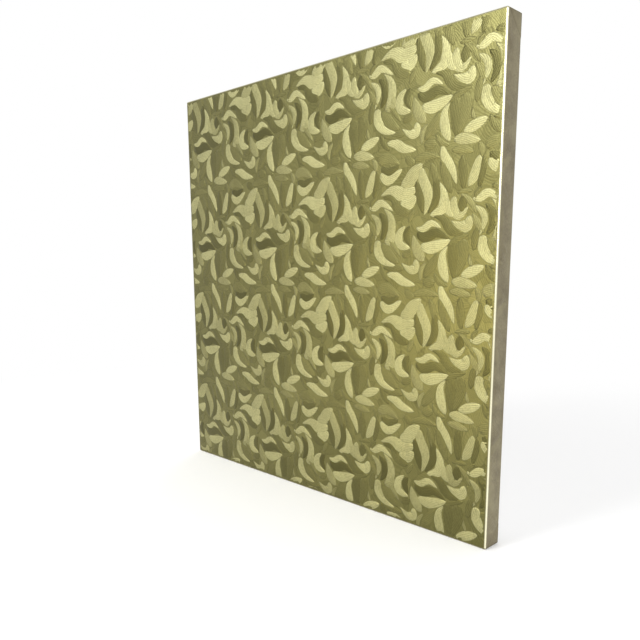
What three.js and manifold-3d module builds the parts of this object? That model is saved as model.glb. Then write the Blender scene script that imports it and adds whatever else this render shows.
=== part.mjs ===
// A square cake board, also called a cake drum: a thick card board wrapped in embossed gold foil paper,
// with a white paper glued over its back. Millimetres, +Z up. It is modelled lying face up, and the last
// lines stand it on one edge with its face towards -Y, as it is shown for sale.

import * as THREE from 'three';
import * as BufferGeometryUtils from 'three/addons/utils/BufferGeometryUtils.js';
import Module from 'manifold-3d';

const wasm = await Module();
wasm.setup();

// The board: ten inches square and half an inch thick over all its layers.
const boardSide = 254;
const boardThickness = 12.7;
const coreEdgeRadius = 1.0;
const coreCornerSoftness = 0.4;

// The foil paper covers the face and the sides, and is turned in on the back.
const foilThickness = 0.15;
const turnInWidth = 15;
const turnInCornerRadius = 1;

// The white paper on the back stops short of the edge, and steps down where the turned-in foil ends.
const backingThickness = 0.12;
const backingMargin = 5;
const backingCornerRadius = 1.5;

// The embossed leaves repeat over the whole sheet, which was cut slightly askew.
const leafHeight = 0.06;
const repeatWidth = 65.7;
const repeatHeight = 67.3;
const repeatTurn = THREE.MathUtils.degToRad(0.9);
const repeatOrigin = new THREE.Vector2(84.7, 32.2);
const plainRim = 0.4;

// How finely the rounded edges, the corners and the leaves are divided.
const edgeSteps = 4;
const cornerSteps = 3;
const leafSteps = 4;

// One repeat's leaves. Each has a spine from tip to tip, its greatest width, and the share of its length
// at which it is widest.
const leaves = [
  { name: 'boat', spine: [[-30, 30.5], [-24, 26.8], [-15, 31.5]], width: 6.8, widest: 0.42 },
  { name: 'wing', spine: [[-30, 19], [-22, 21], [-14, 18.7], [-5.5, 21]], width: 7.4, widest: 0.6 },
  { name: 'plume', spine: [[-16, 22.8], [-10.5, 25], [-7, 29], [-2, 32.6]], width: 7.8, widest: 0.45 },
  { name: 'wing_foot', spine: [[-16.5, 14.5], [-10.5, 12.8], [-6, 17.8]], width: 6.4, widest: 0.5 },
  { name: 'wave', spine: [[-38.2, 13.3], [-34, 13.2], [-29, 15.4], [-21, 10.6]], width: 4.6, widest: 0.5 },
  {
    name: 'outer_crescent',
    spine: [[-28, 12.8], [-23, 8], [-22.2, 1], [-26, -5]],
    width: 5.8,
    widest: 0.6,
  },
  {
    name: 'hook',
    spine: [[-12.5, 2.8], [-16.8, -1], [-16.4, -6.5], [-9.5, -8.8]],
    width: 5.6,
    widest: 0.55,
  },
  {
    name: 'big_curl',
    spine: [[-31.5, -5], [-32.2, -10], [-27.5, -15.2], [-18.8, -17.9]],
    width: 5.4,
    widest: 0.4,
  },
  {
    name: 'smile',
    spine: [[-15.8, -16], [-10, -19.6], [-6, -18.5], [-6.3, -14.3]],
    width: 5.6,
    widest: 0.6,
  },
  {
    name: 'snake',
    spine: [[-25.5, -22.8], [-19, -22.2], [-14, -26.3], [-6, -27.7]],
    width: 5.4,
    widest: 0.5,
  },
  { name: 'spire', spine: [[-3, 31], [-1.5, 24], [1.8, 16], [-0.8, 7.2]], width: 6.6, widest: 0.45 },
  { name: 'horn', spine: [[8.3, 22.8], [11.2, 16], [9.8, 9.5], [2.5, 7]], width: 6, widest: 0.55 },
  { name: 'cup', spine: [[17.5, 15.5], [16.8, 9.5], [20.5, 5.8], [25.5, 10]], width: 5.4, widest: 0.4 },
  { name: 'upper_lip', spine: [[-6, 1.3], [-1.5, 0.6], [4, 3.2], [10, 0.4]], width: 4.2, widest: 0.5 },
  { name: 'lower_lip', spine: [[-3, -7.4], [4, -8.8], [15.7, -5.5]], width: 6.6, widest: 0.5 },
  { name: 'stalk', spine: [[14, -8], [10.7, -13], [11.3, -20], [14.3, -26.3]], width: 6, widest: 0.6 },
  { name: 'spear', spine: [[21.8, -23], [28, -20.8], [35, -18.4]], width: 5.6, widest: 0.5 },
  { name: 'blade', spine: [[10.5, 36], [13.5, 30], [17, 26], [18.2, 21]], width: 5.6, widest: 0.45 },
];

const wrapEdgeRadius = coreEdgeRadius + foilThickness;
const coreSide = boardSide - 2 * foilThickness;
const coreCornerRadius = coreEdgeRadius + coreCornerSoftness;
const leafRoot = foilThickness / 2;
const coreBottom = backingThickness + foilThickness;
const foilTop = boardThickness - leafHeight;
const coreTop = foilTop - foilThickness;

// The outline of a square with rounded corners, anticlockwise.
function roundedSquare(side, radius) {
  const reach = side / 2 - radius;
  const points = [];
  for (let corner = 0; corner < 4; corner += 1) {
    const turn = (corner * Math.PI) / 2;
    const centre = new THREE.Vector2(reach, reach).rotateAround(new THREE.Vector2(), turn);
    for (let step = 0; step <= cornerSteps; step += 1) {
      const angle = turn + (step / cornerSteps) * (Math.PI / 2);
      points.push(new THREE.Vector2(Math.cos(angle), Math.sin(angle)).multiplyScalar(radius).add(centre));
    }
  }
  return points;
}

// Level outlines down the outside of a slab with rounded edges, from its top face to its bottom face.
function slabRings(side, cornerRadius, edgeRadius, bottom, top) {
  const rings = [];
  const ringAt = (angle, height) => {
    const inset = edgeRadius * (1 - Math.sin(angle));
    rings.push({ outline: roundedSquare(side - 2 * inset, cornerRadius - inset), height });
  };
  for (let step = 0; step <= edgeSteps; step += 1) {
    const angle = (step / edgeSteps) * (Math.PI / 2);
    ringAt(angle, top - edgeRadius * (1 - Math.cos(angle)));
  }
  for (let step = edgeSteps; step >= 0; step -= 1) {
    const angle = (step / edgeSteps) * (Math.PI / 2);
    ringAt(angle, bottom + edgeRadius * (1 - Math.cos(angle)));
  }
  return rings;
}

// A closed surface through a list of level outlines, with a flat cap on the first and on the last.
function surfaceThrough(rings) {
  const count = rings[0].outline.length;
  const positions = [];
  const indices = [];
  rings.forEach((ring) => ring.outline.forEach((point) => positions.push(point.x, point.y, ring.height)));
  for (let level = 0; level < rings.length - 1; level += 1) {
    for (let i = 0; i < count; i += 1) {
      const above = level * count + i;
      const aboveNext = level * count + ((i + 1) % count);
      const below = above + count;
      const belowNext = aboveNext + count;
      indices.push(above, below, belowNext, above, belowNext, aboveNext);
    }
  }
  const lastRing = (rings.length - 1) * count;
  for (let i = 1; i < count - 1; i += 1) {
    indices.push(0, i, i + 1);
    indices.push(lastRing, lastRing + i + 1, lastRing + i);
  }
  const geometry = new THREE.BufferGeometry();
  geometry.setAttribute('position', new THREE.Float32BufferAttribute(positions, 3));
  geometry.setIndex(indices);
  return geometry;
}

function coreRings() {
  return slabRings(coreSide, coreCornerRadius, coreEdgeRadius, coreBottom, coreTop);
}

function turnInOpening() {
  return roundedSquare(boardSide - 2 * turnInWidth, turnInCornerRadius);
}

function coreBoard() {
  return surfaceThrough(coreRings());
}

// The wrap's outside runs down to the back and in to the opening, then back up along the core.
function plainFoilWrap() {
  const cornerRadius = coreCornerRadius + foilThickness;
  const outside = slabRings(boardSide, cornerRadius, wrapEdgeRadius, backingThickness, foilTop);
  const opening = turnInOpening();
  return surfaceThrough([
    ...outside,
    { outline: opening, height: backingThickness },
    { outline: opening, height: coreBottom },
    ...coreRings().reverse(),
  ]);
}

function backingSheet() {
  const rim = roundedSquare(boardSide - 2 * backingMargin, backingCornerRadius);
  const step = turnInOpening();
  const stepInside = roundedSquare(
    boardSide - 2 * turnInWidth - 2 * backingThickness,
    turnInCornerRadius,
  );
  return surfaceThrough([
    { outline: step, height: coreBottom },
    { outline: step, height: backingThickness },
    { outline: rim, height: backingThickness },
    { outline: rim, height: 0 },
    { outline: stepInside, height: 0 },
    { outline: stepInside, height: foilThickness },
  ]);
}

function solidFrom(geometry) {
  const bare = geometry.clone();
  bare.deleteAttribute('normal');
  bare.deleteAttribute('uv');
  const merged = BufferGeometryUtils.mergeVertices(bare);
  return new wasm.Manifold(new wasm.Mesh({
    numProp: 3,
    vertProperties: new Float32Array(merged.attributes.position.array),
    triVerts: new Uint32Array(merged.index.array),
  }));
}

function geometryFrom(solid) {
  const mesh = solid.getMesh();
  const geometry = new THREE.BufferGeometry();
  geometry.setAttribute('position', new THREE.BufferAttribute(mesh.vertProperties, mesh.numProp));
  geometry.setIndex(new THREE.BufferAttribute(mesh.triVerts, 1));
  return geometry;
}

// A leaf's outline: up one side of its spine and down the other, pointed at both tips.
function leafShape(leaf) {
  const spine = new THREE.SplineCurve(leaf.spine.map(([x, y]) => new THREE.Vector2(x, y)));
  const skew = Math.log(0.5) / Math.log(leaf.widest);
  const left = [];
  const right = [];
  for (let step = 1; step < leafSteps; step += 1) {
    const share = step / leafSteps;
    const halfWidth = (leaf.width / 2) * Math.sin(Math.PI * share ** skew);
    const middle = spine.getPoint(share);
    const along = spine.getTangent(share);
    const across = new THREE.Vector2(-along.y, along.x).multiplyScalar(halfWidth);
    left.push(middle.clone().add(across));
    right.unshift(middle.clone().sub(across));
  }
  return new THREE.Shape([spine.getPoint(0), ...right.reverse(), spine.getPoint(1), ...left.reverse()]);
}

// One leaf of one repeat, rooted in the foil and standing up to the board's full thickness.
function leafRelief(leaf, column, row) {
  const depth = leafHeight + leafRoot;
  const relief = new THREE.ExtrudeGeometry(leafShape(leaf), { depth, bevelEnabled: false });
  relief.translate(column * repeatWidth, row * repeatHeight, 0);
  relief.rotateZ(repeatTurn);
  relief.translate(repeatOrigin.x, repeatOrigin.y, boardThickness - depth);
  return relief;
}

// All leaves that reach the face, cut off where the flat face ends.
function leavesOnFace() {
  const faceSide = boardSide - 2 * (wrapEdgeRadius + plainRim);
  const columns = Math.ceil((boardSide / 2 + Math.abs(repeatOrigin.x)) / repeatWidth);
  const rows = Math.ceil((boardSide / 2 + Math.abs(repeatOrigin.y)) / repeatHeight);
  const face = new THREE.BoxGeometry(faceSide, faceSide, 2 * boardThickness);
  face.translate(0, 0, boardThickness);
  face.computeBoundingBox();
  const reliefs = [];
  for (let column = -columns; column <= columns; column += 1) {
    for (let row = -rows; row <= rows; row += 1) {
      leaves.forEach((leaf) => {
        const relief = leafRelief(leaf, column, row);
        relief.computeBoundingBox();
        if (relief.boundingBox.intersectsBox(face.boundingBox)) {
          reliefs.push(solidFrom(relief));
        }
      });
    }
  }
  return wasm.Manifold.union(reliefs).intersect(solidFrom(face));
}

function foilWrap() {
  return geometryFrom(solidFrom(plainFoilWrap()).add(leavesOnFace()));
}

function namedMesh(name, geometry, material) {
  const flat = geometry.toNonIndexed();
  flat.computeVertexNormals();
  const mesh = new THREE.Mesh(flat, material);
  mesh.name = name;
  return mesh;
}

const boardCard = new THREE.MeshStandardMaterial({ color: 0xa98d66, roughness: 0.9, metalness: 0 });
const goldFoil = new THREE.MeshStandardMaterial({ color: 0xb9b06a, roughness: 0.34, metalness: 0.9 });
const whitePaper = new THREE.MeshStandardMaterial({ color: 0xf1efe8, roughness: 0.8, metalness: 0 });

const cakeBoard = new THREE.Group();
cakeBoard.add(
  namedMesh('core_board', coreBoard(), boardCard),
  namedMesh('foil_wrap', foilWrap(), goldFoil),
  namedMesh('backing_sheet', backingSheet(), whitePaper),
);

// Stood up: the face's up direction becomes +Z, and the face looks to -Y.
cakeBoard.rotation.x = Math.PI / 2;
cakeBoard.position.set(0, boardThickness / 2, boardSide / 2);

export default cakeBoard;
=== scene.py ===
"""A square gold cake board in embossed foil paper, standing on one edge.

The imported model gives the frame. The foil wrap and the paper on the back are remade here with their
leaves, soft edges, corner folds and ripples, and every surface gets its finish.
"""

import math
import random
from itertools import product

import bpy
from mathutils import Matrix, Vector, noise


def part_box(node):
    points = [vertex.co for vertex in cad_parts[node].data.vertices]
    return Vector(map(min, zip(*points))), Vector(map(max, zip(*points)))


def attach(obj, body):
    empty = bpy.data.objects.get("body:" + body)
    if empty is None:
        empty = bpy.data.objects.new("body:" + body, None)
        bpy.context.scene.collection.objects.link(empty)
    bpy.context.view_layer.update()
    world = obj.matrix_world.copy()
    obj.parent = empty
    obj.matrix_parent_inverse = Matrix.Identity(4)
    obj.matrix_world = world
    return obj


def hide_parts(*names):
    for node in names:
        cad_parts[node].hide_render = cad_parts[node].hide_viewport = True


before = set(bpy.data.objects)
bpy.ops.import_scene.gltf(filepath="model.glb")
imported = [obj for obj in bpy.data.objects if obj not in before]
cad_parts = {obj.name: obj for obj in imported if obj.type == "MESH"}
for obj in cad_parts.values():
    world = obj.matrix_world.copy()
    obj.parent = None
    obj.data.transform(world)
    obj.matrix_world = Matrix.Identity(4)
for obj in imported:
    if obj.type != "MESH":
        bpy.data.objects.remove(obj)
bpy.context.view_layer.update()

MM = 0.001

# The board, in millimetres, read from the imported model.
board_low, board_high = (Vector(corner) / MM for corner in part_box("foil_wrap"))
paper_low, paper_high = (Vector(corner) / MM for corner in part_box("backing_sheet"))
board_side = board_high.x - board_low.x
face_y = board_low.y
back_y = paper_high.y
middle_height = (board_low.z + board_high.z) / 2

# The foil sheet, in millimetres: how it lies on the board, and its slow waves and small edge ripples.
sheet_sink = 0.06
back_sink = 0.14
edge_radius = 1.1
edge_steps = 6
sheet_grid = 2.2
turn_in_width = 15.0
sheet_wave = 0.03
sheet_wave_size = 38.0
rim_wobble = 0.03
rim_wobble_size = 5.0
rim_noise_shift = 7
rim_noise_stretch = 3
rim_wobble_gain = 4

# The painted highlight line on the edges, as shares of its full strength, which the upright edges have.
highlight_share_above = 0.4
highlight_share_below = 0.1
highlight_edge_gain = 6
level_edge_slope = 0.2

# The embossed pattern, in millimetres: its repeat and how it lies, as in the model's own leaves.
repeat_width = 65.7
repeat_height = 67.3
repeat_turn = Matrix.Rotation(math.radians(0.9), 2)
repeat_origin = Vector((84.7, 32.2))
smooth_before_bend = 0.2
smooth_after_bend = 0.3
side_margin = 0.5

# A leaf's pillow, in millimetres: how it stands on the sheet, and its cross-section from rim to rim.
leaf_height = 0.032
leaf_root = 0.022
leaf_steps = 12
thin_leaf = 0.5
shoulder_place = 0.84
shoulder_lift = leaf_height * 0.85
leaf_sides = (-1.0, -shoulder_place, 0.0, shoulder_place, 1.0)
leaf_lifts = (-leaf_root, shoulder_lift, leaf_height, shoulder_lift, -leaf_root)

# A leaf's outline, as shares: how full it is, how much wider than listed, and its limit inside a bend.
leaf_fullness = 0.74
bright_tone = 0.6
bright_swell = 1.34
dark_swell = 1.16
heading_window = 0.01
bend_window = 0.12
inner_reach = 0.72

# Under these, a length or an angle counts as none.
no_length = 1e-6
no_angle = 1e-3

# The small seeded differences of tone from leaf to leaf.
tone_seed = 11
tone_spread = 0.07

# The seeded leaves that fill the gaps of the repeat, in millimetres.
gap_seed = 5
gap_tries = 900
gap_swirl = 5.0
gap_swirl_size = 28
gap_half_lengths = (3.5, 7.0)
gap_bend = 1.8
gap_least_room = 1.0
gap_tip_room = -0.3
gap_widest = 6.0
gap_overlap = 0.8
gap_tones = (0.22, 0.58)
room_steps = 8

# The corner folds of the foil, in millimetres, and their tone, with a painted shade line along each fold's
# rim.
fold_tone = 0.45
fold_rim = 1.0
fold_margin = 0.45
fold_lift = 0.05
fold_inset = edge_radius * 0.6
tuck_length = 10.5
mitre_width = 9.0

# The paper on the back, in millimetres, with the step of the foil's rim and the ripples in it.
paper_grid = 2.0
foil_step = 0.15
foil_step_softness = 0.9
paper_ripple = 0.05
ripple_width = 30
ripple_height = 9
ripple_layer = 3.0
paper_rim_sink = 0.06
paper_rim_width = 0.01

# The foil's petals, so many to a millimetre, and the fine lines along each leaf, in millimetres.
petal_scale = 0.1
petal_drift = 14.0
leaf_line_spacing = 0.95
leaf_line_slant = 0.22
foil_metallic = 0.85

# Colours.
# Painted reflection: the ground and leaf tones stand for how the gold foil's embossed leaves and ground
# catch the light, not for different colours of foil.
GROUND_DARK = (0.092, 0.087, 0.028, 1)
GROUND_LIGHT = (0.18, 0.17, 0.062, 1)
LEAF_DARK = (0.085, 0.08, 0.024, 1)
LEAF_MID = (0.19, 0.18, 0.066, 1)
LEAF_BRIGHT = (0.43, 0.415, 0.205, 1)
# Painted shade for the embossing's pressed lines: leaf outlines, hatch lines, pebbles and fold rims.
EMBOSS_SHADE = (0.048, 0.044, 0.013, 1)
# Painted highlight: the pale line that the rounded edges show where the lamps glint on them.
EDGE_HIGHLIGHT = (0.95, 0.91, 0.66, 1)
# Painted reflection for the board's narrow sides: browner, duller and mottled compared with the face.
SIDE_DARK = (0.19, 0.155, 0.10, 1)
SIDE_LIGHT = (0.32, 0.28, 0.18, 1)
PAPER_DARK = (0.82, 0.81, 0.78, 1)
PAPER_LIGHT = (0.90, 0.89, 0.87, 1)
CARD_DARK = (0.30, 0.21, 0.12, 1)
CARD_LIGHT = (0.46, 0.35, 0.22, 1)
FLOOR_GREY = (0.86, 0.86, 0.86, 1)
WHITE = (1, 1, 1, 1)
WARM_LAMP = (1.0, 0.86, 0.5)

# The studio: the room's light and the floor's glow as shares of white, and distances in metres.
room_light = 0.72
floor_glow = 0.12
floor_reach = 6.0
floor_shadow_reach = 0.16
floor_white_from = 0.55
camera_clip = 0.01

# The camera, from the photograph's view of the board's corners. Its place is in millimetres.
camera_place = Vector((290.7, -279.0, 143.4))
camera_turn = (math.radians(79.879), math.radians(-0.04), math.radians(44.451))
camera_sensor = 36
camera_lens = 36.78
camera_shift = (-0.0289, 0.0914)

# Each leaf: a spine from tip to tip, its greatest width, where along it that lies, and how bright it is, as
# painted reflection of the real embossed leaf.
LEAVES = [
    ("boat", [(-30, 30.5), (-24, 26.8), (-15, 31.5)], 4.5, 0.42, 0.95),
    ("boat_shade", [(-29.5, 33.2), (-24, 30.6), (-17, 33.4)], 4.4, 0.45, 0.1),
    ("wing", [(-30, 19), (-22, 21), (-14, 18.7), (-5.5, 21)], 5.8, 0.6, 0.85),
    ("plume", [(-16, 22.8), (-10.5, 25), (-7, 29), (-2, 32.6)], 6.2, 0.45, 0.8),
    ("wing_foot", [(-16.5, 14.6), (-11, 13.6), (-6, 17.4)], 5.2, 0.5, 0.85),
    ("wing_shade", [(-22.5, 17.2), (-17.5, 12), (-10, 9.2)], 5.8, 0.6, 0.2),
    ("wave_shade", [(-28, 18.2), (-22.5, 17.6), (-17, 12.5)], 3.2, 0.45, 0.18),
    ("wave", [(-38.2, 13.3), (-34, 13.2), (-29, 15.4), (-21, 10.6)], 3.5, 0.5, 1.0),
    ("inner_crescent", [(-37, 10), (-32.6, 7), (-31.2, 2.5), (-34, -4.3)], 3.0, 0.5, 0.75),
    ("crescent_shade", [(-31, 10.5), (-27.2, 6.5), (-26.8, 1), (-30, -4)], 4.2, 0.5, 0.04),
    ("outer_crescent", [(-28, 12.8), (-23, 8), (-22.2, 1), (-26, -5)], 4.4, 0.6, 0.75),
    ("crescent_foot", [(-22.3, 3), (-21.8, -3), (-27, -5.2)], 4.6, 0.6, 0.7),
    ("hook", [(-12.5, 2.8), (-16.8, -1), (-16.4, -6.5), (-9.5, -8.8)], 4.4, 0.55, 0.85),
    ("hook_shade", [(-10, 2.5), (-12.3, -2), (-9.8, -7.5)], 3.6, 0.5, 0.08),
    ("big_curl", [(-31.5, -5), (-32.2, -10), (-27.5, -15.2), (-18.8, -17.9)], 4.0, 0.4, 0.9),
    ("curl_head", [(-31.8, -3.8), (-31.6, -9), (-27.5, -14)], 4.6, 0.4, 0.82),
    ("curl_shade", [(-29.5, -5.5), (-25, -10.5), (-17, -16.5)], 5.6, 0.5, 0.4),
    ("smile", [(-15.8, -16), (-10, -19.6), (-6, -18.5), (-6.3, -14.3)], 4.4, 0.6, 0.85),
    ("snake", [(-25.8, -22.2), (-19.8, -22.9), (-14, -25.9), (-6, -27.7)], 4.2, 0.5, 1.0),
    ("bud", [(-31.5, -31.8), (-25.5, -29.2), (-16.5, -33.6)], 5.4, 0.38, 0.5),
    ("spire", [(-3, 31), (-1.5, 24), (1.8, 16), (-0.8, 7.2)], 5.2, 0.45, 0.72),
    ("spire_shade", [(-6, 25), (-3.6, 17), (-1.2, 8.2)], 4.8, 0.5, 0.1),
    ("horn_shade", [(6, 26), (6.7, 16), (1.5, 8)], 4.6, 0.45, 0.1),
    ("petal", [(3, 32.5), (5.4, 27.5), (6.2, 22)], 3.6, 0.5, 0.4),
    ("horn", [(8.3, 22.8), (11.2, 16), (9.8, 9.5), (2.5, 7)], 4.6, 0.55, 0.85),
    ("claw", [(12, 16), (13.4, 10), (17, 5.4)], 4.0, 0.5, 0.78),
    ("horn_back", [(9, 33), (12.2, 25), (15.6, 16.5)], 5.0, 0.5, 0.35),
    ("cup", [(17.5, 15.5), (16.8, 9.5), (20.5, 5.8), (25.5, 10)], 4.2, 0.4, 0.75),
    ("cup_shade", [(23, 15.5), (22, 11.5), (22, 7.3)], 4.6, 0.5, 0.08),
    ("chin", [(15.3, 3.8), (21, 1), (25, 1.2), (26.5, 5.8)], 5.0, 0.6, 0.85),
    ("lip_shade", [(4.5, 6.6), (10.5, 5), (16, -1), (24, -2.7)], 4.8, 0.6, 0.2),
    ("upper_lip", [(-6, 1.3), (-1.5, 0.6), (4, 3.2), (10, 0.4)], 3.1, 0.5, 1.0),
    ("eye_shade", [(-5.5, -1), (0, -3.8), (7, -1.7), (15.3, -5.2)], 5.0, 0.4, 0.06),
    ("lower_lip", [(-3, -7.4), (4, -8.8), (15.7, -5.5)], 5.0, 0.5, 0.92),
    ("lip_root", [(-7.8, -2), (-5.5, -9), (-0.5, -15.5)], 5.0, 0.6, 0.65),
    ("fin", [(-1, -23.8), (4, -18), (8.5, -11.5)], 5.0, 0.5, 0.38),
    ("stalk", [(14, -8), (10.7, -13), (11.3, -20), (14.3, -26.3)], 4.6, 0.6, 0.9),
    ("great_petal", [(16.6, -6), (17.4, -14), (18, -25)], 6.4, 0.45, 0.2),
    ("great_petal_half", [(22.4, -5), (22.6, -13), (18.8, -24)], 6.4, 0.42, 0.3),
    ("thorn", [(26.5, -12.5), (26.7, -15.5), (28, -18.5)], 2.0, 0.6, 0.6),
    ("spear", [(21.8, -23), (28, -20.8), (35, -18.4)], 4.2, 0.5, 0.95),
    ("spear_root", [(16.2, -25.8), (22, -26), (31.5, -28)], 4.2, 0.5, 0.75),
    ("spear_foot", [(15, -30.5), (21, -30.8), (28, -32.5)], 3.8, 0.5, 0.5),
    ("lid", [(-8, 34.6), (0, 36), (9, 34.4)], 3.8, 0.45, 0.46),
    ("blade", [(9.6, 40), (11.2, 34.5), (15.8, 28), (18.4, 20.5)], 4.0, 0.45, 0.95),
    ("blade_shade", [(21.5, 34), (22, 26), (22.5, 18)], 4.6, 0.5, 0.2),
    ("torch", [(31, 33), (29.5, 26), (25, 19)], 4.8, 0.5, 0.8),
    ("torch_shade", [(33.2, 32), (32.6, 26), (31, 18)], 4.0, 0.5, 0.15),
]

rng = random.Random(tone_seed)


# Small helpers.

def smooth(mesh):
    for polygon in mesh.polygons:
        polygon.use_smooth = True


def new_piece(name, vertices, faces):
    """Makes an object from points in millimetres, riding on the board's one body."""
    mesh = bpy.data.meshes.new(name)
    mesh.from_pydata([Vector(point) * MM for point in vertices], [], faces)
    mesh.update()
    smooth(mesh)
    piece = bpy.data.objects.new(name, mesh)
    bpy.context.scene.collection.objects.link(piece)
    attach(piece, "root")
    return piece


def store_values(piece, label, amounts):
    """Keeps one number for each point, for the material to read."""
    values = piece.data.attributes.new(label, "FLOAT", "POINT")
    values.data.foreach_set("value", amounts)


def spline_point(points, share):
    """A point along a smooth curve through a few points, as the model's spines run."""
    last = len(points) - 1
    place = last * share
    start = min(int(place), last - 1)
    weight = place - start
    p0 = points[max(start - 1, 0)]
    p1 = points[start]
    p2 = points[start + 1]
    p3 = points[min(start + 2, last)]

    def along(a, b, c, d):
        slope_in = (c - a) * 0.5
        slope_out = (d - b) * 0.5
        cubic = (2 * b - 2 * c + slope_in + slope_out) * weight ** 3
        square = (-3 * b + 3 * c - 2 * slope_in - slope_out) * weight ** 2
        return cubic + square + slope_in * weight + b

    return Vector((along(p0[0], p1[0], p2[0], p3[0]), along(p0[1], p1[1], p2[1], p3[1])))


# The foil sheet, folded round the board.

half_side = board_side / 2 - sheet_sink
front_y = face_y + sheet_sink
rear_y = back_y - back_sink
thickness = rear_y - front_y
flat_reach = half_side - edge_radius
arc_length = edge_radius * math.pi / 2
side_length = thickness - 2 * edge_radius
back_opening = half_side - turn_in_width


def fold(beyond):
    """How far out and back a sheet has come past the end of the flat face, and how far it has turned."""
    if beyond <= arc_length:
        angle = beyond / edge_radius
        return edge_radius * math.sin(angle), edge_radius * (1 - math.cos(angle)), angle
    beyond -= arc_length
    if beyond <= side_length:
        return edge_radius, edge_radius + beyond, math.pi / 2
    beyond -= side_length
    if beyond <= arc_length:
        angle = beyond / edge_radius
        return (
            edge_radius * math.cos(angle),
            thickness - edge_radius * (1 - math.sin(angle)),
            math.pi / 2 + angle,
        )
    return -(beyond - arc_length), thickness, math.pi


def wrapped(x, y, lift):
    """Puts a point of the flat sheet on the board, lifted off it. x runs right and y up from the middle."""
    beyond_x = max(abs(x) - flat_reach, 0.0)
    beyond_y = max(abs(y) - flat_reach, 0.0)
    sign_x = math.copysign(1.0, x)
    sign_y = math.copysign(1.0, y)
    if beyond_x >= beyond_y:
        out, back, angle = fold(beyond_x)
        reach = flat_reach + out + lift * math.sin(angle) if beyond_x > 0 else abs(x)
        return Vector((
            sign_x * reach,
            front_y + back - lift * math.cos(angle),
            middle_height + max(-half_side, min(half_side, y)),
        ))
    out, back, angle = fold(beyond_y)
    return Vector((
        max(-half_side, min(half_side, x)),
        front_y + back - lift * math.cos(angle),
        middle_height + sign_y * (flat_reach + out + lift * math.sin(angle)),
    ))


def rounded_box_point(x, y, z, low, high, radius):
    """Pulls a point of a box's surface in to the same box with rounded edges, and says which way is out."""
    inner = Vector((
        max(low.x + radius, min(high.x - radius, x)),
        max(low.y + radius, min(high.y - radius, y)),
        max(low.z + radius, min(high.z - radius, z)),
    ))
    direction = (Vector((x, y, z)) - inner).normalized()
    return inner + direction * radius, direction


def grid_lines(low, high, spacing):
    """Places along one side: close together over the rounded ends and even between them."""
    ends = [edge_radius * math.tan(math.pi / 4 * step / edge_steps) for step in range(edge_steps + 1)]
    near = [low + edge_radius - end for end in reversed(ends)]
    far = [high - edge_radius + end for end in ends]
    inner_span = far[0] - near[-1]
    count = max(2, round(inner_span / spacing))
    inner = [near[-1] + inner_span * step / count for step in range(1, count)]
    return near + inner + far


def sheet_dip(x, y, z, on_edge):
    """How far the sheet dips at a point: in slow waves all over, and in small ripples along the edges."""
    swell = sheet_wave * noise.noise(Vector((x, y, z)) / sheet_wave_size)
    rim_place = Vector((x + rim_noise_shift, y * rim_noise_stretch, z)) / rim_wobble_size
    wobble = rim_wobble * noise.noise(rim_place)
    return abs(swell) + abs(wobble) * min(1.0, on_edge * rim_wobble_gain)


def edge_highlight_share(direction):
    """How much of the painted highlight an edge gets, by whether it faces up, down or level."""
    if direction.z < -level_edge_slope:
        return highlight_share_below
    if direction.z > level_edge_slope:
        return highlight_share_above
    return 1.0


class SkinPoints:
    """The points of the foil sheet, each made once, with the strength of the painted highlight near its
    edges and how far it is on a side.
    """

    def __init__(self, low, high):
        self.low = low
        self.high = high
        self.vertices = []
        self.edge_highlight_amounts = []
        self.side_amounts = []
        self.index_of = {}

    def index(self, x, y, z):
        key = (round(x, 5), round(y, 5), round(z, 5))
        if key not in self.index_of:
            self.index_of[key] = len(self.vertices)
            self.add(x, y, z)
        return self.index_of[key]

    def add(self, x, y, z):
        point, direction = rounded_box_point(x, y, z, self.low, self.high, edge_radius)
        on_edge = 1.0 - max(abs(direction.x), abs(direction.y), abs(direction.z))
        self.vertices.append(point - direction * sheet_dip(x, y, z, on_edge))
        # Painted highlight strength: full on upright edges, weaker on edges facing up or down.
        self.edge_highlight_amounts.append(edge_highlight_share(direction) * min(1.0, on_edge * highlight_edge_gain))
        self.side_amounts.append(max(abs(direction.x), abs(direction.z)) ** 2)


def square_corners(axis, value, first, second, i, j):
    """The four corners of one square on a flat side of the box."""
    first_axis, second_axis = (other for other in range(3) if other != axis)
    corners = []
    for a, b in ((i, j), (i + 1, j), (i + 1, j + 1), (i, j + 1)):
        corner = [0.0, 0.0, 0.0]
        corner[axis] = value
        corner[first_axis] = first[a]
        corner[second_axis] = second[b]
        corners.append(corner)
    return corners


def in_back_opening(corners):
    """True for a square of the back that lies inside the turned-in strips, where there is no foil."""
    middle_x = (corners[0][0] + corners[2][0]) / 2
    middle_z = (corners[0][2] + corners[2][2]) / 2 - middle_height
    return max(abs(middle_x), abs(middle_z)) < back_opening


def side_faces(points, lines, axis, at_high):
    """The squares of one flat side of the box, wound to face outward."""
    value = points.high[axis] if at_high else points.low[axis]
    first, second = (lines[other] for other in range(3) if other != axis)
    keeps_order = at_high != (axis == 1)
    on_back = axis == 1 and at_high
    faces = []
    for i, j in product(range(len(first) - 1), range(len(second) - 1)):
        corners = square_corners(axis, value, first, second, i, j)
        if on_back and in_back_opening(corners):
            continue
        face = [points.index(*corner) for corner in corners]
        faces.append(face if keeps_order else face[::-1])
    return faces


def foil_skin():
    """The foil sheet: one skin over the face and the sides, turned in on the back."""
    low = Vector((-half_side, front_y, middle_height - half_side))
    high = Vector((half_side, rear_y, middle_height + half_side))
    lines = [grid_lines(low[axis], high[axis], sheet_grid) for axis in range(3)]
    points = SkinPoints(low, high)
    faces = []
    for axis, at_high in product(range(3), (False, True)):
        faces += side_faces(points, lines, axis, at_high)
    piece = new_piece("foil_sheet", points.vertices, faces)
    # on_edge holds the strength of the painted highlight along the edges.
    store_values(piece, "on_edge", points.edge_highlight_amounts)
    store_values(piece, "on_side", points.side_amounts)
    return piece


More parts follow.
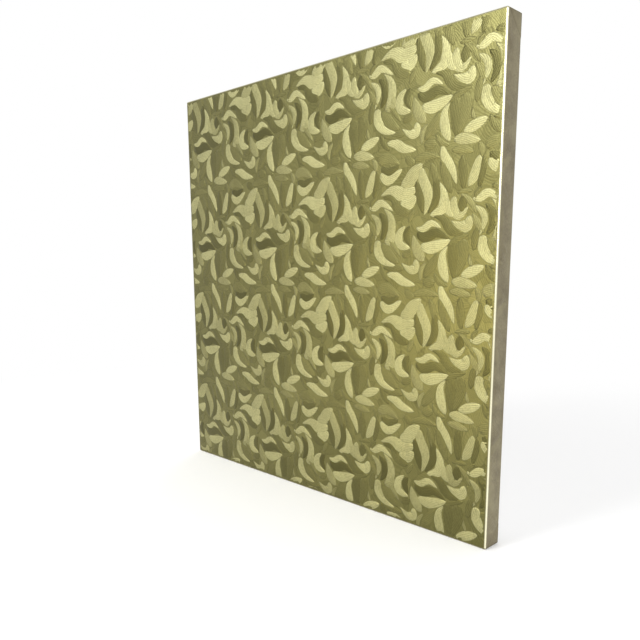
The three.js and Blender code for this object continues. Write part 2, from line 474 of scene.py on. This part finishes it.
# The embossed leaves. A flat point is a place on the unfolded sheet, from the middle of the face.

def on_the_bend(flat):
    """True on the rounded front edge, where the foil is stretched smooth."""
    distance = max(abs(flat.x), abs(flat.y)) - flat_reach
    return -smooth_before_bend < distance < arc_length + smooth_after_bend


def on_a_side(flat):
    """True on the board's four narrow sides."""
    distance = max(abs(flat.x), abs(flat.y)) - flat_reach - arc_length
    return -side_margin < distance < side_length + side_margin


def off_the_sheet(flat):
    """True past the back edge, and in the corners where the sheet is cut and tucked."""
    farthest = flat_reach + 2 * arc_length + side_length
    across = abs(flat.x)
    up = abs(flat.y)
    return max(across, up) > farthest or min(across, up) > flat_reach


def on_flat_sheet(point, shift):
    """Puts a point of the pattern on the unfolded sheet, in the repeat that the shift leads to."""
    return repeat_turn @ (point + shift) + repeat_origin


def swell_of(tone):
    """How much wider than listed a leaf is drawn."""
    return bright_swell if tone > bright_tone else dark_swell


def leaf_bulge(share, skew):
    """How wide a leaf is at a share of its length: pointed at both ends."""
    return max(0.0, math.sin(math.pi * min(1.0, share) ** skew)) ** leaf_fullness


def inside_of_bend(spine, share):
    """Which side of a spine is the inner one of its bend, and how far the leaf may reach there."""
    middle = spline_point(spine, share)
    ahead = spline_point(spine, min(1.0, share + bend_window)) - middle
    behind = middle - spline_point(spine, max(0.0, share - bend_window))
    if ahead.length < no_length or behind.length < no_length:
        return 1, math.inf
    bend = behind.x * ahead.y - behind.y * ahead.x
    angle = math.asin(max(-1.0, min(1.0, bend / (ahead.length * behind.length))))
    if abs(angle) < no_angle:
        return 1, math.inf
    bend_radius = (ahead.length + behind.length) / 2 / abs(angle)
    return math.copysign(1, angle), inner_reach * bend_radius


class LeafRoom:
    """Where the leaves of one repeat lie, as discs along their spines."""

    def __init__(self):
        self.discs = []

    def take(self, spine, width):
        for step in range(room_steps + 1):
            share = step / room_steps
            self.discs.append((spline_point(spine, share), width / 2 * leaf_bulge(share, 1.0)))

    def around(self, point):
        """The distance from a point to the nearest leaf, in this repeat or a neighbouring one."""
        least = repeat_width
        for middle, half_width in self.discs:
            across = abs(point.x - middle.x) % repeat_width
            up = abs(point.y - middle.y) % repeat_height
            across = min(across, repeat_width - across)
            up = min(up, repeat_height - up)
            least = min(least, math.hypot(across, up) - half_width)
        return least


def gap_spine(chooser):
    """A short bent spine at a random place, heading the way the pattern swirls there."""
    centre = Vector((chooser.uniform(0, repeat_width), chooser.uniform(0, repeat_height)))
    heading = gap_swirl * noise.noise(Vector((centre.x, centre.y, 0)) / gap_swirl_size)
    half_length = chooser.uniform(*gap_half_lengths)
    bend = chooser.uniform(-gap_bend, gap_bend)
    along = Vector((math.cos(heading), math.sin(heading)))
    across = Vector((-along.y, along.x))
    return [centre - along * half_length, centre + across * bend, centre + along * half_length]


def gap_leaves():
    """Mid-toned leaves for the gaps of one repeat, so that the pattern fills the sheet."""
    chooser = random.Random(gap_seed)
    room = LeafRoom()
    for name, spine, width, widest, tone in LEAVES:
        room.take(spine, width * swell_of(tone))
    found = []
    for attempt in range(gap_tries):
        spine = gap_spine(chooser)
        free = room.around(spine[1])
        if free < gap_least_room or min(room.around(spine[0]), room.around(spine[2])) < gap_tip_room:
            continue
        width = min(gap_widest, 2 * free + gap_overlap)
        found.append(("gap_leaf", spine, width / dark_swell, 0.5, chooser.uniform(*gap_tones)))
        room.take(spine, width)
    return found


class Relief:
    """The growing mesh of leaves and folds, with what the material reads at each point."""

    def __init__(self):
        self.vertices = []
        self.faces = []
        self.uvs = []
        self.tones = []
        self.margins = []
        self.side_amounts = []

    def add(self, vertex, uv, tone, margin, on_side):
        self.vertices.append(vertex)
        self.uvs.append(uv)
        self.tones.append(tone)
        self.margins.append(margin)
        self.side_amounts.append(on_side)

    def piece(self, name, slot_name):
        made = new_piece(name, self.vertices, self.faces)
        layer = made.data.uv_layers.new(name="LeafPlace")
        for loop in made.data.loops:
            layer.data[loop.index].uv = self.uvs[loop.vertex_index]
        store_values(made, "leaf_tone", self.tones)
        store_values(made, "leaf_margin", self.margins)
        store_values(made, "on_side", self.side_amounts)
        return made


def settled_lift(lift, half_width, flat):
    """How high a leaf's point stands: lower in thin tips, and under the sheet where it is smooth."""
    if on_the_bend(flat):
        return -leaf_root - leaf_height
    if half_width < thin_leaf:
        return lift - leaf_height * (1 - half_width / thin_leaf)
    return lift


def across_leaf(spine, share, half_width, shift):
    """The points across a leaf: for each its side, offset from the spine, flat place and lift."""
    middle = spline_point(spine, share)
    ahead = spline_point(spine, min(1.0, share + heading_window))
    behind = spline_point(spine, max(0.0, share - heading_window))
    along = (ahead - behind).normalized()
    across = Vector((-along.y, along.x))
    inner_side, inner_limit = inside_of_bend(spine, share)
    for side, lift in zip(leaf_sides, leaf_lifts):
        reach = min(half_width, inner_limit) if side * inner_side > 0 else half_width
        offset = side * reach
        flat = on_flat_sheet(middle + across * offset, shift)
        yield side, offset, flat, settled_lift(lift, half_width, flat)


def leaf_points(leaf, shift, leaf_tone):
    """The points of one leaf, ring by ring along its spine, or None where it runs off the sheet."""
    name, spine, width, widest, tone = leaf
    skew = math.log(0.5) / math.log(widest)
    length = 0.0
    before = spline_point(spine, 0.0)
    points = []
    for step in range(leaf_steps + 1):
        share = step / leaf_steps
        middle = spline_point(spine, share)
        length += (middle - before).length
        before = middle
        half_width = swell_of(tone) * width / 2 * leaf_bulge(share, skew)
        for side, offset, flat, lift in across_leaf(spine, share, half_width, shift):
            if off_the_sheet(flat):
                return None
            on_side = 1.0 if on_a_side(flat) else 0.0
            margin = half_width if on_side else (1 - abs(side)) * half_width
            points.append((wrapped(flat.x, flat.y, lift), (length, offset), leaf_tone, margin, on_side))
    return points


def leaf_patch(relief, leaf, column, row):
    """Adds one leaf as a low pillow that follows the sheet, even over the board's edges."""
    name, spine, width, widest, tone = leaf
    shift = Vector((column * repeat_width, row * repeat_height))
    if off_the_sheet(on_flat_sheet(Vector(spine[len(spine) // 2]), shift)):
        return
    leaf_tone = min(1.0, max(0.0, tone + rng.uniform(-tone_spread, tone_spread)))
    points = leaf_points(leaf, shift, leaf_tone)
    if points is None:
        return
    base = len(relief.vertices)
    for point in points:
        relief.add(*point)
    ring = len(leaf_sides)
    for step, crossing in product(range(leaf_steps), range(ring - 1)):
        a = base + step * ring + crossing
        relief.faces.append((a, a + ring, a + ring + 1, a + 1))


def fold_patch(relief, corners, outward):
    """A flap of folded foil: a flat piece with its rim pressed down and darkened with painted shade, over
    the leaves under it.
    """
    centre = sum(corners, Vector()) / len(corners)
    base = len(relief.vertices)
    on_side = abs(outward.x)
    for corner in corners:
        relief.add(corner - outward * leaf_root, (0.0, 0.0), fold_tone, 0.0, on_side)
    for corner in corners:
        inset = corner + (centre - corner).normalized() * fold_rim
        relief.add(inset + outward * fold_lift, (0.0, 0.0), fold_tone, fold_margin, on_side)
    count = len(corners)
    for index in range(count):
        after = (index + 1) % count
        relief.faces.append((base + index, base + after, base + count + after, base + count + index))
    relief.faces.append(tuple(base + count + index for index in range(count)))


def side_tuck(relief, right, up):
    """The folded triangle of foil at one end of the left or right side."""
    side_front = front_y + edge_radius
    side_back = rear_y - fold_inset
    tip = middle_height + up * (half_side - fold_inset)
    inner = tip - up * tuck_length
    corners = [
        Vector((right * half_side, side_front, tip)),
        Vector((right * half_side, side_back, tip)),
        Vector((right * half_side, side_back, inner)),
    ]
    if right * up > 0:
        corners.reverse()
    fold_patch(relief, corners, Vector((right, 0, 0)))


def back_mitre(relief, right):
    """The turned-in foil of the left or right side, cut at a slant at both ends."""
    outer = right * (half_side - edge_radius)
    inner = right * (half_side - mitre_width)
    end = half_side - edge_radius
    corners = [
        Vector((outer, rear_y, middle_height - end)),
        Vector((inner, rear_y, middle_height - end + mitre_width - edge_radius)),
        Vector((inner, rear_y, middle_height + end - mitre_width + edge_radius)),
        Vector((outer, rear_y, middle_height + end)),
    ]
    if right < 0:
        corners.reverse()
    fold_patch(relief, corners, Vector((0, 1, 0)))


def foil_leaves():
    """All the raised leaves of the foil, repeated over the sheet, and the folds at its corners."""
    relief = Relief()
    reach = half_side + thickness
    columns = math.ceil((reach + abs(repeat_origin.x)) / repeat_width)
    rows = math.ceil((reach + abs(repeat_origin.y)) / repeat_height)
    pattern = LEAVES + gap_leaves()
    for column, row in product(range(-columns, columns + 1), range(-rows, rows + 1)):
        for leaf in pattern:
            leaf_patch(relief, leaf, column, row)
    for right in (-1, 1):
        side_tuck(relief, right, -1)
        side_tuck(relief, right, 1)
        back_mitre(relief, right)
    return relief.piece("foil_leaves", "gold_foil")


def paper_dip(x, y, reach):
    """How far the paper dips at a place: off the foil's rim, in a ripple, and at its own rim."""
    from_middle = max(abs(x), abs(y))
    inside = back_opening - from_middle
    step = foil_step * (1 / (1 + math.exp(-inside / foil_step_softness)))
    ripple = paper_ripple * abs(noise.noise(Vector((x / ripple_width, y / ripple_height, ripple_layer))))
    edge = paper_rim_sink if from_middle > reach - paper_rim_width else 0.0
    return step, ripple, edge


def backing_paper():
    """The white paper on the back, with the step of the turned-in foil showing through it."""
    reach = (paper_high.x - paper_low.x) / 2
    count = round(2 * reach / paper_grid)
    ring = count + 1
    vertices = []
    for i, j in product(range(ring), range(ring)):
        x = -reach + 2 * reach * i / count
        y = -reach + 2 * reach * j / count
        step, ripple, edge = paper_dip(x, y, reach)
        vertices.append((x, paper_high.y - step - ripple - edge, middle_height + y))
    faces = []
    for i, j in product(range(count), range(count)):
        a = i * ring + j
        faces.append((a, a + 1, a + ring + 1, a + ring))
    return new_piece("backing_paper", vertices, faces)


# Shader building blocks.

class Tree:
    """Short calls for adding and joining shader nodes."""

    def __init__(self, tree):
        self.tree = tree
        tree.nodes.clear()

    def add(self, kind, values=None, **settings):
        """Adds a node. Each value is a socket to link or a number or colour to set."""
        node = self.tree.nodes.new(kind)
        for key, value in settings.items():
            setattr(node, key, value)
        for key, value in (values or {}).items():
            if isinstance(value, bpy.types.NodeSocket):
                self.tree.links.new(value, node.inputs[key])
            else:
                node.inputs[key].default_value = value
        return node

    def math(self, operation, first, second=0.0):
        return self.add("ShaderNodeMath", {0: first, 1: second}, operation=operation).outputs[0]

    def weighted(self, *pairs):
        """Adds up sockets, each multiplied by its own weight."""
        total = None
        for socket, weight in pairs:
            part = self.math("MULTIPLY", socket, weight)
            total = part if total is None else self.math("ADD", total, part)
        return total

    def mix(self, factor, first, second):
        values = {0: factor, 6: first, 7: second}
        return self.add("ShaderNodeMix", values, data_type="RGBA", clamp_factor=True).outputs[2]

    def ramp(self, value, low, high, out_low=0.0, out_high=1.0):
        values = {0: value, 1: low, 2: high, 3: out_low, 4: out_high}
        return self.add("ShaderNodeMapRange", values).outputs[0]

    def attribute(self, name):
        return self.add("ShaderNodeAttribute", attribute_name=name).outputs["Fac"]

    def object_place(self):
        return self.add("ShaderNodeTexCoord").outputs["Object"]

    def place_in_mm(self):
        values = {0: self.object_place(), 3: 1 / MM}
        return self.add("ShaderNodeVectorMath", values, operation="SCALE").outputs[0]

    def seen_ray(self):
        """1 for what the camera sees, directly, in a reflection or through glass, and 0 for other light."""
        rays = self.add("ShaderNodeLightPath").outputs
        seen = self.math("MAXIMUM", rays["Is Camera Ray"], rays["Is Glossy Ray"])
        return self.math("MAXIMUM", seen, rays["Is Transmission Ray"])

    def finish(self, surface, kind="ShaderNodeOutputMaterial"):
        out = self.add(kind)
        self.tree.links.new(surface.outputs[0], out.inputs[0])


def group(name, inputs, outputs):
    """Makes an empty node group with named inputs and outputs."""
    tree = bpy.data.node_groups.new(name, "ShaderNodeTree")
    for label, kind, value in inputs:
        socket = tree.interface.new_socket(label, in_out="INPUT", socket_type=kind)
        socket.default_value = value
    for label, kind in outputs:
        tree.interface.new_socket(label, in_out="OUTPUT", socket_type=kind)
    return tree


def foil_grain_group():
    """The fine pebbles of embossed foil paper, with its slow changes of tone and its scuffs."""
    tree = group(
        "FoilGrain",
        [
            ("Pebble Size", "NodeSocketFloat", 0.9),
            ("Patch Size", "NodeSocketFloat", 22.0),
        ],
        [
            ("Pebbles", "NodeSocketFloat"),
            ("Patches", "NodeSocketFloat"),
            ("Scuffs", "NodeSocketFloat"),
        ],
    )
    t = Tree(tree)
    given = t.add("NodeGroupInput").outputs
    out = t.add("NodeGroupOutput")
    in_mm = t.place_in_mm()
    pebble_scale = t.math("DIVIDE", 1.0, given["Pebble Size"])
    patch_scale = t.math("DIVIDE", 1.0, given["Patch Size"])
    cells = t.add("ShaderNodeTexVoronoi", {"Vector": in_mm, "Scale": pebble_scale}, feature="SMOOTH_F1")
    patches = t.add("ShaderNodeTexNoise", {"Vector": in_mm, "Scale": patch_scale, "Detail": 3.0})
    scuffs = t.add("ShaderNodeTexNoise", {"Vector": in_mm, "Scale": 0.35, "Detail": 5.0, "Roughness": 0.7})
    results = {
        "Pebbles": t.ramp(cells.outputs["Distance"], low=0.0, high=0.8),
        "Patches": t.ramp(patches.outputs[0], low=0.3, high=0.7),
        "Scuffs": t.ramp(scuffs.outputs[0], low=0.56, high=0.74),
    }
    for label, socket in results.items():
        tree.links.new(socket, out.inputs[label])
    return tree


def side_reflection_group():
    """On the board's sides, where the foil is pulled tight round it, paints a browner, mottled and duller
    reflection than on the face.
    """
    tree = group(
        "SideReflection",
        [
            ("Foil", "NodeSocketColor", (0.2, 0.2, 0.1, 1)),
            ("Pebbles", "NodeSocketFloat", 0.5),
            ("Patches", "NodeSocketFloat", 0.5),
            ("On Side", "NodeSocketFloat", 0.0),
        ],
        [("Colour", "NodeSocketColor")],
    )
    t = Tree(tree)
    given = t.add("NodeGroupInput").outputs
    out = t.add("NodeGroupOutput")
    mottling = t.weighted((given["Patches"], 0.6), (given["Pebbles"], 0.4))
    painted_side = t.mix(t.ramp(mottling, low=0.15, high=0.8), SIDE_DARK, SIDE_LIGHT)
    colour = t.mix(t.math("MULTIPLY", given["On Side"], 0.8), given["Foil"], painted_side)
    tree.links.new(colour, out.inputs["Colour"])
    return tree


def place_grain(t, grain_tree, pebble_size, patch_size):
    """Places the foil grain effect in a foil material."""
    values = {"Pebble Size": pebble_size, "Patch Size": patch_size}
    grain = t.add("ShaderNodeGroup", node_tree=grain_tree)
    for label, value in values.items():
        grain.inputs[label].default_value = value
    return grain.outputs


def place_side_reflection(t, side_tree, grain, colour):
    """Places the painted side reflection in a foil material."""
    values = {
        "Foil": colour,
        "Pebbles": grain["Pebbles"],
        "Patches": grain["Patches"],
        "On Side": t.attribute("on_side"),
    }
    painted_side = t.add("ShaderNodeGroup", node_tree=side_tree)
    for label, socket in values.items():
        t.tree.links.new(socket, painted_side.inputs[label])
    return painted_side.outputs["Colour"]


# Materials.

def material(name):
    made = bpy.data.materials.new(name)
    made.use_nodes = True
    return made, Tree(made.node_tree)


def finish_foil(t, colour, rough, height, bump_strength):
    bump = t.add("ShaderNodeBump", {"Height": height, "Strength": bump_strength, "Distance": 0.0002})
    t.finish(t.add("ShaderNodeBsdfPrincipled", {
        "Base Color": colour,
        "Roughness": rough,
        "Metallic": foil_metallic,
        "Normal": bump.outputs[0],
    }))


def sheet_material(grain_tree, side_tree):
    """The foil between the leaves: blurred petals of the pattern, hatched and thinly outlined; the petals'
    tones are painted reflection and the hatch and outlines painted shade.
    """
    made, t = material("gold_foil_ground")
    grain = place_grain(t, grain_tree, pebble_size=0.8, patch_size=9.0)
    in_mm = t.place_in_mm()
    drift = t.add("ShaderNodeTexNoise", {"Vector": in_mm, "Scale": 0.07, "Detail": 1.0}).outputs["Color"]
    moved = t.add("ShaderNodeVectorMath", {0: drift, 3: petal_drift}, operation="SCALE").outputs[0]
    bent = t.add("ShaderNodeVectorMath", {0: in_mm, 1: moved}, operation="ADD").outputs[0]
    petal_place = {"Vector": bent, "Scale": petal_scale}
    petals = t.add("ShaderNodeTexVoronoi", petal_place)
    veins = t.add("ShaderNodeTexVoronoi", petal_place, feature="DISTANCE_TO_EDGE")
    petal_tone = t.add("ShaderNodeSeparateColor", {0: petals.outputs["Color"]}).outputs[0]
    lines = t.add("ShaderNodeTexWave", {"Vector": bent, "Scale": 0.34}, bands_direction="DIAGONAL")
    hatch = lines.outputs["Fac"]
    on_edge = t.attribute("on_edge")
    # Painted reflection and shade: the ground's tone from the petals, pebbles and hatch lines.
    tone = t.weighted((petal_tone, 0.5), (grain["Pebbles"], 0.2), (hatch, 0.25))
    colour = t.mix(tone, GROUND_DARK, GROUND_LIGHT)
    # Painted shade: thin dark lines along the petals' edges.
    outline = t.ramp(veins.outputs["Distance"], low=0.006, high=0.035, out_low=0.3, out_high=0.0)
    colour = t.mix(outline, colour, EMBOSS_SHADE)
    colour = place_side_reflection(t, side_tree, grain, colour)
    # Painted highlight: the rounded edges turn pale where on_edge is high.
    colour = t.mix(on_edge, colour, EDGE_HIGHLIGHT)
    rough = t.ramp(grain["Scuffs"], low=0.0, high=1.0, out_low=0.4, out_high=0.52)
    rough = t.math("SUBTRACT", rough, t.math("MULTIPLY", on_edge, 0.22))
    height = t.weighted((grain["Pebbles"], 0.4), (hatch, 0.4))
    height = t.math("MULTIPLY", height, t.math("SUBTRACT", 1.0, on_edge))
    finish_foil(t, colour, rough, height, bump_strength=0.22)
    return made


def leaf_lines(t):
    """Fine lines that run along a leaf, slanting a little across it."""
    place = t.add("ShaderNodeUVMap", uv_map="LeafPlace").outputs[0]
    along_and_across = t.add("ShaderNodeSeparateXYZ", {0: place}).outputs
    slant = t.math("MULTIPLY", along_and_across[0], leaf_line_slant)
    slanted = t.math("ADD", along_and_across[1], slant)
    wave = t.math("SINE", t.math("MULTIPLY", slanted, 2 * math.pi / leaf_line_spacing))
    return t.ramp(wave, low=-0.2, high=0.9)


def leaf_material(grain_tree, side_tree):
    """The embossed leaves: fine lines run along each, and a thin dark line rounds it, painted shade in the
    pressed groove; their bright and dark tones are painted reflection.
    """
    made, t = material("gold_foil_leaves")
    grain = place_grain(t, grain_tree, pebble_size=0.7, patch_size=9.0)
    tone = t.attribute("leaf_tone")
    margin = t.attribute("leaf_margin")
    hatch = leaf_lines(t)
    # Painted reflection: each leaf's tone picks a darker or brighter gold, as the leaf would catch the
    # light.
    lower = t.mix(t.ramp(tone, low=0.0, high=0.5), LEAF_DARK, LEAF_MID)
    colour = t.mix(t.ramp(tone, low=0.48, high=0.88), lower, LEAF_BRIGHT)
    # Painted shade along the hatch lines and between the pebbles, with slow random changes of tone.
    shade = t.weighted((hatch, 0.22), (grain["Pebbles"], 0.3), (grain["Patches"], 0.12))
    colour = t.mix(shade, colour, EMBOSS_SHADE)
    colour = place_side_reflection(t, side_tree, grain, colour)
    # Painted shade: a thin dark line round each leaf and along each fold's rim.
    outline = t.ramp(margin, low=0.1, high=0.42, out_low=0.6, out_high=0.0)
    colour = t.mix(outline, colour, EMBOSS_SHADE)
    rough = t.ramp(tone, low=0.0, high=1.0, out_low=0.38, out_high=0.5)
    height = t.weighted((hatch, 0.6), (grain["Pebbles"], 0.4))
    finish_foil(t, colour, rough, height, bump_strength=0.25)
    return made


def paper_material():
    """Matte white paper with fine fibres and faint clouds."""
    made, t = material("white_backing_paper")
    in_mm = t.place_in_mm()
    fibres = t.add("ShaderNodeTexNoise", {"Vector": in_mm, "Scale": 1.4, "Detail": 6.0, "Roughness": 0.7})
    clouds = t.add("ShaderNodeTexNoise", {"Vector": in_mm, "Scale": 0.03, "Detail": 2.0})
    tone = t.weighted((fibres.outputs[0], 0.6), (clouds.outputs[0], 0.4))
    colour = t.mix(t.ramp(tone, low=0.35, high=0.65), PAPER_DARK, PAPER_LIGHT)
    bump = t.add("ShaderNodeBump", {"Height": fibres.outputs[0], "Strength": 0.25, "Distance": 0.0001})
    t.finish(t.add("ShaderNodeBsdfPrincipled", {
        "Base Color": colour,
        "Roughness": 0.82,
        "Normal": bump.outputs[0],
    }))
    return made


def card_material():
    """Brown card in layers, for the core, which the foil and the paper hide."""
    made, t = material("laminated_card")
    in_mm = t.place_in_mm()
    layers = t.add("ShaderNodeTexWave", {"Vector": in_mm, "Scale": 0.35}, bands_direction="Y")
    fibres = t.add("ShaderNodeTexNoise", {"Vector": in_mm, "Scale": 1.1, "Detail": 5.0})
    tone = t.weighted((layers.outputs["Fac"], 0.4), (fibres.outputs[0], 0.6))
    colour = t.mix(tone, CARD_DARK, CARD_LIGHT)
    bump = t.add("ShaderNodeBump", {"Height": tone, "Strength": 0.3, "Distance": 0.0003})
    t.finish(t.add("ShaderNodeBsdfPrincipled", {
        "Base Color": colour,
        "Roughness": 0.9,
        "Normal": bump.outputs[0],
    }))
    return made


def floor_material():
    """Pale floor that takes the board's shadow near it and is plain white further off."""
    made, t = material("pale_floor")
    surface = t.add("ShaderNodeBsdfDiffuse", {"Color": FLOOR_GREY}).outputs[0]
    glow = t.add("ShaderNodeEmission", {"Color": WHITE, "Strength": floor_glow}).outputs[0]
    white = t.add("ShaderNodeEmission", {"Color": WHITE, "Strength": 1.0}).outputs[0]
    lit = t.add("ShaderNodeAddShader", {0: surface, 1: glow}).outputs[0]
    distance = t.add("ShaderNodeVectorMath", {0: t.object_place()}, operation="LENGTH").outputs["Value"]
    far = t.ramp(distance, low=floor_shadow_reach, high=floor_white_from)
    shown = t.add("ShaderNodeMixShader", {0: far, 1: lit, 2: white}).outputs[0]
    t.finish(t.add("ShaderNodeMixShader", {0: t.seen_ray(), 1: surface, 2: shown}))
    return made


# The studio.

def world_light():
    """A plain white room, seen at full white and lighting the board a little less."""
    world = bpy.data.worlds.new("studio")
    world.use_nodes = True
    bpy.context.scene.world = world
    t = Tree(world.node_tree)
    strength = t.ramp(t.seen_ray(), low=0.0, high=1.0, out_low=room_light, out_high=1.0)
    background = t.add("ShaderNodeBackground", {"Color": WHITE, "Strength": strength})
    t.finish(background, "ShaderNodeOutputWorld")


def area_light(name, place, aim, size, power, colour=(1, 1, 1)):
    """A round lamp, with its place, aim and size in metres."""
    data = bpy.data.lights.new(name, "AREA")
    data.shape = "DISK"
    data.size = size
    data.energy = power
    data.color = colour
    lamp = bpy.data.objects.new(name, data)
    lamp.location = place
    lamp.rotation_euler = (Vector(aim) - Vector(place)).to_track_quat("-Z", "Y").to_euler()
    bpy.context.scene.collection.objects.link(lamp)


def floor():
    """A wide floor under the board."""
    mesh = bpy.data.meshes.new("floor")
    reach = floor_reach
    corners = [(-reach, -reach, 0), (reach, -reach, 0), (reach, reach, 0), (-reach, reach, 0)]
    mesh.from_pydata(corners, [], [(0, 1, 2, 3)])
    made = bpy.data.objects.new("floor", mesh)
    bpy.context.scene.collection.objects.link(made)
    made.data.materials.append(floor_material())


def studio():
    """The room, its lamps and the floor. The low warm lamp stands for a golden glow near the foot."""
    world_light()
    centre = (0, 0, middle_height * MM)
    area_light("key_light", (-0.30, -1.2, 0.72), centre, size=0.6, power=11)
    area_light("camera_side_light", (0.75, -0.75, 0.45), centre, size=0.5, power=5)
    area_light("low_warm_light", (-0.3, -0.8, 0.06), (0.1, 0, 0.0), size=0.16, power=1.6, colour=WARM_LAMP)
    area_light("back_light", (-0.7, 1.1, 0.7), centre, size=0.7, power=4)
    floor()


def camera():
    """The photograph's view."""
    data = bpy.data.cameras.new("photo_view")
    data.sensor_width = camera_sensor
    data.lens = camera_lens
    data.shift_x, data.shift_y = camera_shift
    data.clip_start = camera_clip
    made = bpy.data.objects.new("photo_view", data)
    made.location = camera_place * MM
    made.rotation_euler = camera_turn
    bpy.context.scene.collection.objects.link(made)
    bpy.context.scene.camera = made


# The scene.

camera()

skin = foil_skin()
leaf_relief = foil_leaves()
paper = backing_paper()
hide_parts("foil_wrap")
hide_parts("foil_wrap")
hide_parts("backing_sheet")

foil_grain = foil_grain_group()
side_reflection = side_reflection_group()
skin.data.materials.append(sheet_material(foil_grain, side_reflection))
leaf_relief.data.materials.append(leaf_material(foil_grain, side_reflection))
paper.data.materials.append(paper_material())
card = card_material()
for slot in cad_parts["core_board"].material_slots:
    slot.material = card

studio()
bpy.context.scene.view_settings.view_transform = "Standard"
